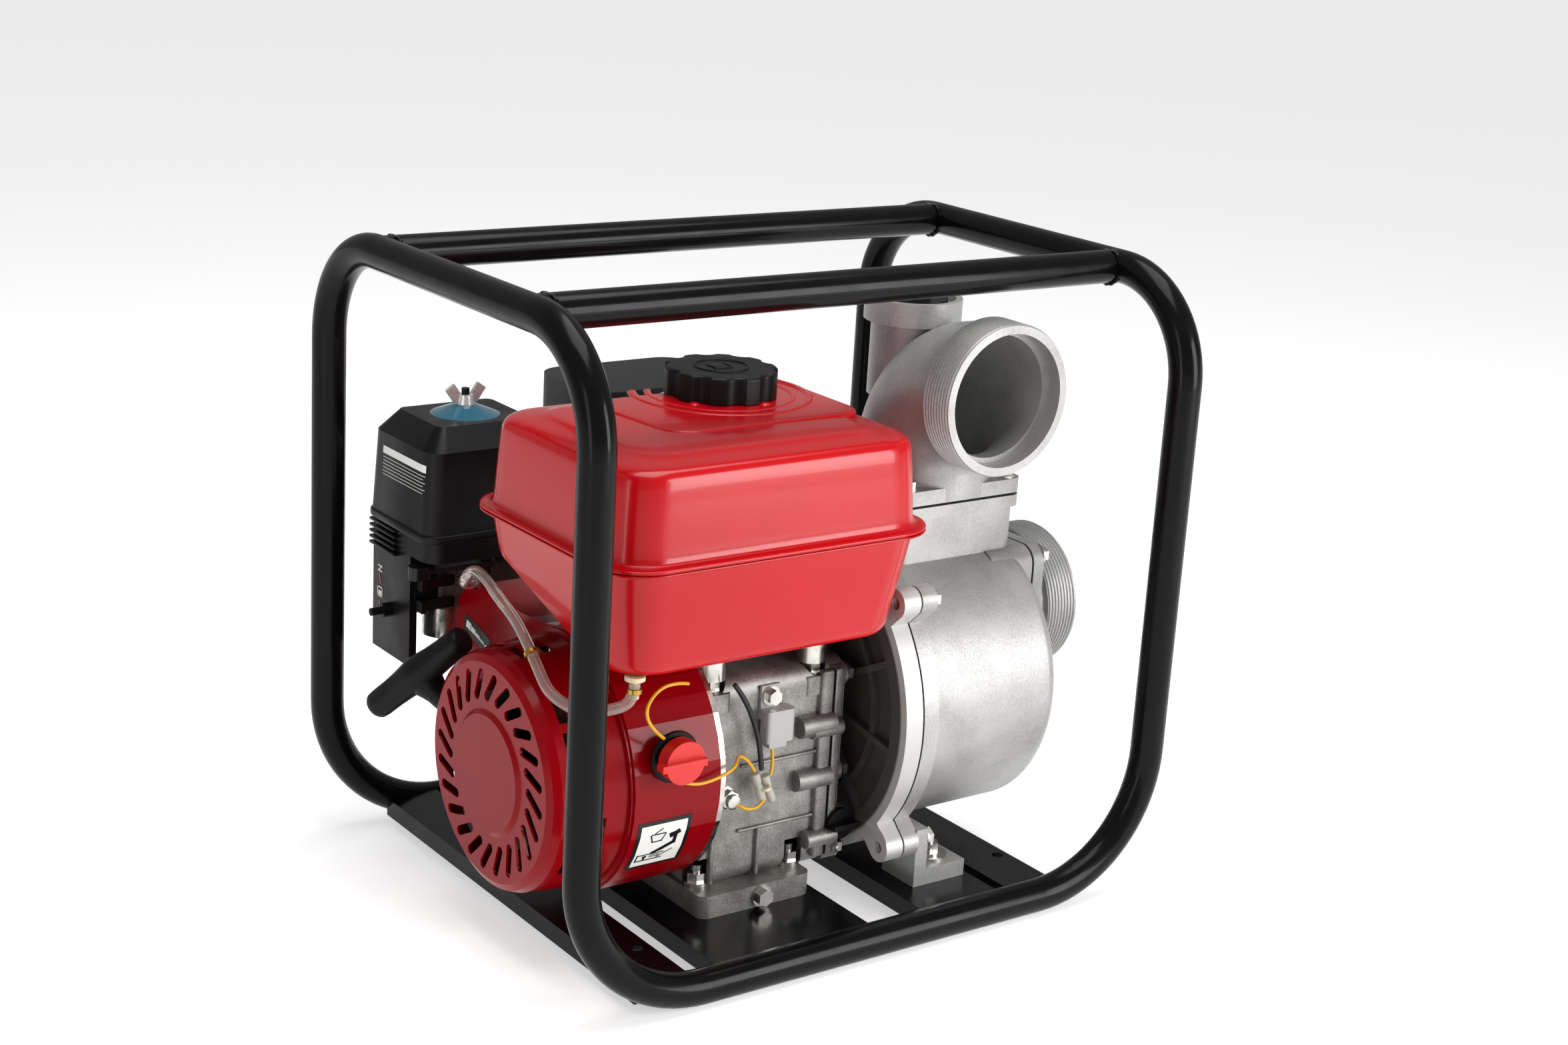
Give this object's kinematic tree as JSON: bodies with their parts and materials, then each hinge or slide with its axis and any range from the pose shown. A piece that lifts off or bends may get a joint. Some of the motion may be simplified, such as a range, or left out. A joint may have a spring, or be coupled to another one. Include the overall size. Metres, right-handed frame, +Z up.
{
  "type": "engine-driven water pump",
  "caption": "Petrol-engine-driven self-priming centrifugal water pump with threaded suction and discharge mouths in a bent-tube carrying frame.",
  "frame": {"origin": "middle of the base, at the floor under the frame tubes", "axes": "+X along the crankshaft from recoil starter to pump, +Y towards the cylinder head and air cleaner, +Z up"},
  "size_m": [0.527, 0.4, 0.483],
  "materials": {
    "frame_black": "gloss",
    "zinc_steel": "satin",
    "engine_alloy": "cast satin",
    "pump_alloy": "cast satin",
    "tank_red": "gloss",
    "shroud_red": "gloss",
    "black_plastic": "satin",
    "black_steel": "matte",
    "lever_steel": "satin",
    "machined_steel": "machined",
    "iron": "machined",
    "rubber_black": "matte",
    "ceramic": "gloss",
    "foam": "foam",
    "clear_vinyl": "clear",
    "ivory_plastic": "satin",
    "blue_anodised": "gloss",
    "switch_red": "satin",
    "wire_yellow": "satin",
    "grey_plastic": "satin"
  },
  "bodies": {
    "machine": {"air_cleaner_base": "black_plastic", "air_filter_element": "foam", "carburettor_body": "engine_alloy", "crankcase": "engine_alloy", "crankcase_cover": "engine_alloy", "crossmember_left": "frame_black", "crossmember_right": "frame_black", "cylinder_head": "engine_alloy", "discharge_elbow": "pump_alloy", "engine_bolts": "zinc_steel", "engine_crossmember": "frame_black", "engine_wiring": "wire_yellow", "fan_housing": "shroud_red", "float_bowl": "lever_steel", "frame_loop": "frame_black", "fuel_hose": "clear_vinyl", "fuel_outlet": "ivory_plastic", "fuel_tank_lower": "tank_red", "fuel_tank_upper": "tank_red", "hose_clips": "zinc_steel", "ignition_coil": "black_plastic", "mechanical_seal": "rubber_black", "mounting_bolts": "zinc_steel", "muffler": "black_steel", "muffler_shield": "black_steel", "oil_alert_unit": "grey_plastic", "piston": "engine_alloy", "pump_adapter": "pump_alloy", "pump_bolts": "zinc_steel", "pump_casing": "pump_alloy", "pump_crossmember": "frame_black", "pump_feet": "pump_alloy", "pump_gaskets": "rubber_black", "pump_volute": "pump_alloy", "recoil_housing": "shroud_red", "rocker_cover": "black_steel", "shroud_backplate": "zinc_steel", "spark_plug": "ceramic", "spark_plug_lead": "rubber_black", "suction_flange": "pump_alloy", "top_rail_front": "frame_black", "top_rail_rear": "frame_black"},
    "crank": {"crankshaft": "machined_steel", "flywheel": "iron", "impeller": "iron"},
    "cam": {"camshaft": "machined_steel"},
    "reel": {"starter_reel": "black_plastic"},
    "grip": {"starter_handle": "black_plastic"},
    "air_cover": {"air_cleaner_cover": "black_plastic", "dome_washer": "blue_anodised"},
    "wing": {"wing_nut": "zinc_steel"},
    "cap_lift": {"cap_gasket": "rubber_black"},
    "cap": {"fuel_cap": "black_plastic"},
    "knob": {"switch_knob": "switch_red"},
    "choke": {"choke_lever": "black_plastic"},
    "fuel_valve": {"fuel_valve_lever": "black_plastic"},
    "throttle": {"throttle_lever": "lever_steel"},
    "oil_plug": {"oil_filler_plug": "black_plastic"},
    "prime_plug": {"priming_plug": "black_plastic"},
    "flap": {"suction_flap": "rubber_black"}
  },
  "joints": [
    {"name": "crank_spin", "type": "hinge", "parent": "machine", "child": "crank", "pos_m": [0, -0.04, 0.1315], "axis": [1, 0, 0], "continuous": true},
    {"name": "cam_spin", "type": "hinge", "parent": "machine", "child": "cam", "pos_m": [0, 0.005, 0.09181], "axis": [1, 0, 0], "continuous": true},
    {"name": "starter_pull", "type": "slide", "parent": "machine", "child": "grip", "axis": [-0.4701, 0.5501, 0.6902], "range_m": [0, 0.5]},
    {"name": "reel_spin", "type": "hinge", "parent": "machine", "child": "reel", "pos_m": [0, -0.04, 0.1315], "axis": [1, 0, 0], "range_deg": [0, 640]},
    {"name": "air_cover_lift", "type": "slide", "parent": "machine", "child": "air_cover", "axis": [0, 0, 1], "range_m": [0, 0.08]},
    {"name": "wing_nut_turn", "type": "hinge", "parent": "air_cover", "child": "wing", "pos_m": [-0.16, 0.146, 0.35], "axis": [0, 0, 1], "continuous": true},
    {"name": "fuel_cap_lift", "type": "slide", "parent": "machine", "child": "cap_lift", "axis": [0, 0, 1], "range_m": [0, 0.045]},
    {"name": "fuel_cap_turn", "type": "hinge", "parent": "cap_lift", "child": "cap", "pos_m": [-0.043, -0.017, 0.39], "axis": [0, 0, 1], "range_deg": [0, 90]},
    {"name": "switch_turn", "type": "hinge", "parent": "machine", "child": "knob", "pos_m": [-0.149, -0.145, 0.162], "axis": [0, -1, 0], "range_deg": [0, 60]},
    {"name": "choke_turn", "type": "hinge", "parent": "machine", "child": "choke", "pos_m": [-0.182, 0.128, 0.216], "axis": [0, 1, 0], "range_deg": [0, 40]},
    {"name": "fuel_valve_turn", "type": "hinge", "parent": "machine", "child": "fuel_valve", "pos_m": [-0.182, 0.128, 0.199], "axis": [0, -1, 0], "range_deg": [0, 60]},
    {"name": "throttle_turn", "type": "hinge", "parent": "machine", "child": "throttle", "pos_m": [-0.158, 0.112, 0.225], "axis": [0, 0, 1], "range_deg": [0, 30]},
    {"name": "oil_plug_pull", "type": "slide", "parent": "machine", "child": "oil_plug", "axis": [0, -1, 0], "range_m": [0, 0.05]},
    {"name": "priming_plug_lift", "type": "slide", "parent": "machine", "child": "prime_plug", "axis": [0, 0, 1], "range_m": [0, 0.06]},
    {"name": "suction_flap_swing", "type": "hinge", "parent": "machine", "child": "flap", "pos_m": [0.1965, -0.04, 0.2415], "axis": [0, 1, 0], "range_deg": [0, 28]}
  ],
  "couplings": [
    {"joint": "cam_spin", "follows": "crank_spin", "ratio": -0.5},
    {"joint": "reel_spin", "follows": "starter_pull", "rad_per_m": 22.2}
  ]
}
